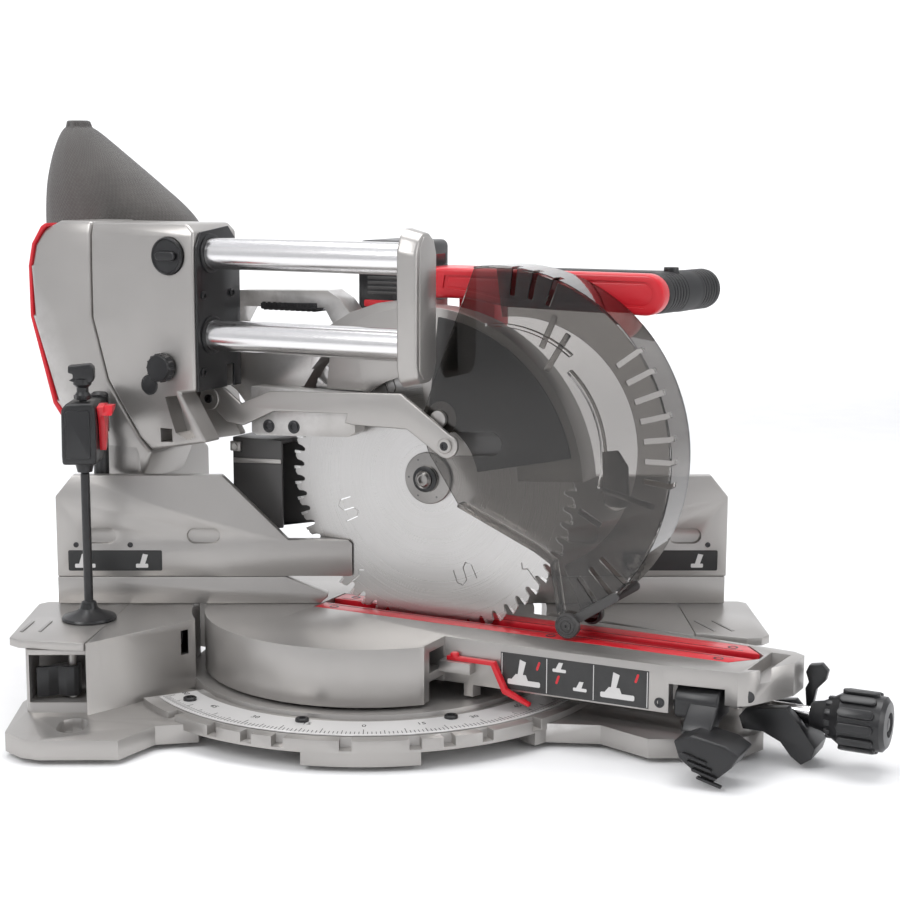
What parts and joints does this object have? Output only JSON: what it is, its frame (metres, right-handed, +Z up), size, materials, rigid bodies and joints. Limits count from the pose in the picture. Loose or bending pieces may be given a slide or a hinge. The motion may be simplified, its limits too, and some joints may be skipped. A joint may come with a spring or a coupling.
{
  "type": "sliding miter saw",
  "caption": "Sliding compound miter saw with turntable, twin slide rails, swinging smoke guard, dust bag and cordless battery, set to a right-hand miter.",
  "frame": {"origin": "on the turntable's axis, on the underside of the base's centre boss, in the plane of the rubber feet", "axes": "+X to the right along the fence, +Y to the back, +Z up"},
  "size_m": [0.8251, 0.542, 0.566],
  "materials": {
    "cast_aluminium": "satin silver paint over sand-cast and pressure-cast aluminium",
    "bright_steel": "bright ground tube and brushed plate",
    "dark_steel": "blackened steel",
    "black_plastic": "fine-grained black moulding",
    "red_plastic": "semi-gloss red moulding",
    "grip_rubber": "ribbed soft grip",
    "smoke_polycarbonate": "clear smoke-tinted moulding",
    "bag_fabric": "fine woven grey cloth"
  },
  "bodies": {
    "base": {"base_casting": "cast_aluminium", "miter_scale": "bright_steel", "turntable_bolt": "dark_steel", "left_low_fence": "cast_aluminium", "right_low_fence": "cast_aluminium", "rubber_foot_left_front": "grip_rubber", "rubber_foot_right_front": "grip_rubber", "rubber_foot_left_rear": "grip_rubber", "rubber_foot_right_rear": "grip_rubber"},
    "left_fence": {"left_fence": "cast_aluminium"},
    "right_fence": {"right_fence": "cast_aluminium"},
    "left_extension": {"left_extension": "cast_aluminium"},
    "right_extension": {"right_extension": "cast_aluminium"},
    "left_extension_lock": {"left_extension_lock": "black_plastic"},
    "right_extension_lock": {"right_extension_lock": "black_plastic"},
    "clamp_post": {"clamp_post": "black_plastic"},
    "clamp_screw": {"clamp_screw": "black_plastic"},
    "clamp_lever": {"clamp_lever": "red_plastic"},
    "turntable": {"turntable": "cast_aluminium", "left_kerf_insert": "red_plastic", "right_kerf_insert": "red_plastic", "miter_pointer": "red_plastic", "bevel_bolt": "dark_steel"},
    "detent_bar": {"detent_bar": "dark_steel"},
    "miter_lock_knob": {"miter_lock_knob": "black_plastic"},
    "detent_pedal": {"detent_pedal": "black_plastic"},
    "detent_lever": {"detent_lever": "black_plastic"},
    "bevel_stop_lever": {"bevel_stop_lever": "black_plastic"},
    "bevel_lock": {"bevel_lock": "black_plastic"},
    "bevel_arm": {"bevel_arm": "cast_aluminium", "rear_cover": "red_plastic", "upper_rail": "bright_steel", "lower_rail": "bright_steel", "rail_end_cap": "cast_aluminium"},
    "carriage": {"carriage": "cast_aluminium", "carriage_front_plate": "black_plastic", "upper_slide_bush": "dark_steel", "lower_slide_bush": "dark_steel", "chop_axle": "dark_steel", "dust_elbow": "black_plastic", "dust_bag": "bag_fabric"},
    "slide_lock_knob": {"slide_lock_knob": "black_plastic"},
    "head_lock_pin": {"head_lock_pin": "black_plastic"},
    "guard_link": {"guard_link": "cast_aluminium"},
    "head": {"head_casting": "cast_aluminium", "fixed_guard": "cast_aluminium", "motor_housing": "black_plastic", "motor_stator": "dark_steel", "drive_belt": "grip_rubber", "main_handle": "red_plastic", "handle_grip": "grip_rubber", "dust_chute": "grip_rubber"},
    "battery": {"battery": "black_plastic"},
    "trigger": {"trigger": "red_plastic"},
    "lock_off_button": {"lock_off_button": "red_plastic"},
    "blade": {"blade": "bright_steel", "arbor": "dark_steel"},
    "motor_rotor": {"motor_rotor": "dark_steel"},
    "swing_guard": {"swing_guard": "smoke_polycarbonate"},
    "guard_rollers": {"guard_rollers": "grip_rubber"}
  },
  "joints": [
    {"name": "left_fence_slide", "type": "slide", "parent": "base", "child": "left_fence", "axis": [-1, 0, 0], "range_m": [0, 0.05]},
    {"name": "right_fence_slide", "type": "slide", "parent": "base", "child": "right_fence", "axis": [1, 0, 0], "range_m": [-0.033, 0.015]},
    {"name": "left_extension_slide", "type": "slide", "parent": "base", "child": "left_extension", "axis": [-1, 0, 0], "range_m": [0, 0.08]},
    {"name": "right_extension_slide", "type": "slide", "parent": "base", "child": "right_extension", "axis": [1, 0, 0], "range_m": [0, 0.08]},
    {"name": "left_extension_lock_turn", "type": "hinge", "parent": "base", "child": "left_extension_lock", "pos_m": [-0.272, -0.112, 0.049], "axis": [0, 0, 1], "range_deg": [0, 40]},
    {"name": "right_extension_lock_turn", "type": "hinge", "parent": "base", "child": "right_extension_lock", "pos_m": [0.3145, -0.104, 0.049], "axis": [0, 0, -1], "range_deg": [0, 28]},
    {"name": "clamp_post_slide", "type": "slide", "parent": "base", "child": "clamp_post", "axis": [0, 0, 1], "range_m": [0, 0.06]},
    {"name": "clamp_screw_travel", "type": "slide", "parent": "clamp_post", "child": "clamp_screw", "axis": [0, 0, 1], "range_m": [0, 0.085]},
    {"name": "clamp_lever_turn", "type": "hinge", "parent": "clamp_post", "child": "clamp_lever", "pos_m": [-0.249, -0.046, 0.29], "axis": [1, 0, 0], "range_deg": [0, 50]},
    {"name": "miter", "type": "hinge", "parent": "base", "child": "turntable", "pos_m": [0, 0, 0.06], "axis": [0, 0, 1], "range_deg": [-107, 0]},
    {"name": "miter_lock_turn", "type": "hinge", "parent": "turntable", "child": "miter_lock_knob", "pos_m": [0.35285, -0.1884, 0.0465], "axis": [0.8821, -0.471, 0], "range_deg": [0, 270]},
    {"name": "detent_pedal_press", "type": "hinge", "parent": "turntable", "child": "detent_pedal", "pos_m": [0.30344, -0.19603, 0.066], "axis": [0.8821, -0.471, 0], "range_deg": [0, 12], "stiffness_Nm_per_rad": 6},
    {"name": "detent_bar_lift", "type": "slide", "parent": "turntable", "child": "detent_bar", "axis": [0, 0, 1], "range_m": [0, 0.003], "stiffness_N_per_m": 900},
    {"name": "detent_lever_squeeze", "type": "hinge", "parent": "turntable", "child": "detent_lever", "pos_m": [0.34756, -0.18558, 0.036], "axis": [-0.471, -0.8821, 0], "range_deg": [0, 8], "stiffness_Nm_per_rad": 6},
    {"name": "bevel_stop_turn", "type": "hinge", "parent": "turntable", "child": "bevel_stop_lever", "pos_m": [0.39868, -0.18113, 0.06], "axis": [-0.471, -0.8821, 0], "range_deg": [-20, 0]},
    {"name": "bevel_lock_turn", "type": "hinge", "parent": "turntable", "child": "bevel_lock", "pos_m": [-0.247, 0.13188, 0.09], "axis": [0.8821, -0.471, 0], "range_deg": [0, 30]},
    {"name": "bevel", "type": "hinge", "parent": "turntable", "child": "bevel_arm", "pos_m": [-0.21171, 0.11304, 0.09], "axis": [0.8821, -0.471, 0], "range_deg": [-3, 1]},
    {"name": "carriage_slide", "type": "slide", "parent": "bevel_arm", "child": "carriage", "axis": [0.8821, -0.471, 0], "range_m": [0, 0.212]},
    {"name": "slide_lock_turn", "type": "hinge", "parent": "carriage", "child": "slide_lock_knob", "pos_m": [-0.19147, 0.00021, 0.4332], "axis": [-0.471, -0.8821, 0], "range_deg": [0, 90]},
    {"name": "head_lock_pull", "type": "slide", "parent": "carriage", "child": "head_lock_pin", "axis": [-0.471, -0.8821, 0], "range_m": [0, 0.012]},
    {"name": "guard_link_turn", "type": "hinge", "parent": "carriage", "child": "guard_link", "pos_m": [-0.15886, 0.04855, 0.29], "axis": [-0.471, -0.8821, 0], "range_deg": [0, 42]},
    {"name": "chop", "type": "hinge", "parent": "carriage", "child": "head", "pos_m": [-0.15525, 0.0829, 0.326], "axis": [-0.471, -0.8821, 0], "range_deg": [0, 42]},
    {"name": "battery_slide", "type": "slide", "parent": "head", "child": "battery", "axis": [0, 0, 1], "range_m": [0, 0.06]},
    {"name": "trigger_pull", "type": "slide", "parent": "head", "child": "trigger", "axis": [0.8821, -0.471, 0], "range_m": [0, 0.005], "stiffness_N_per_m": 900},
    {"name": "lock_off_press", "type": "slide", "parent": "head", "child": "lock_off_button", "axis": [0, 0, -1], "range_m": [0, 0.003], "stiffness_N_per_m": 900},
    {"name": "blade_spin", "type": "hinge", "parent": "head", "child": "blade", "pos_m": [0.05884, -0.03142, 0.2239], "axis": [-0.471, -0.8821, 0], "continuous": true},
    {"name": "rotor_spin", "type": "hinge", "parent": "head", "child": "motor_rotor", "pos_m": [0.1006, 0.01431, 0.301], "axis": [-0.471, -0.8821, 0], "continuous": true},
    {"name": "guard_swing", "type": "hinge", "parent": "head", "child": "swing_guard", "pos_m": [0.07789, -0.04159, 0.285], "axis": [-0.471, -0.8821, 0], "range_deg": [-84, 0]},
    {"name": "roller_spin", "type": "hinge", "parent": "swing_guard", "child": "guard_rollers", "pos_m": [0.19733, -0.10537, 0.1035], "axis": [-0.471, -0.8821, 0], "continuous": true}
  ],
  "couplings": [
    {"joint": "detent_bar_lift", "follows": "detent_pedal_press", "m_per_rad": 0.0143},
    {"joint": "guard_link_turn", "follows": "chop", "ratio": 1},
    {"joint": "guard_swing", "follows": "chop", "ratio": -2},
    {"joint": "rotor_spin", "follows": "blade_spin", "ratio": 1.4667}
  ]
}
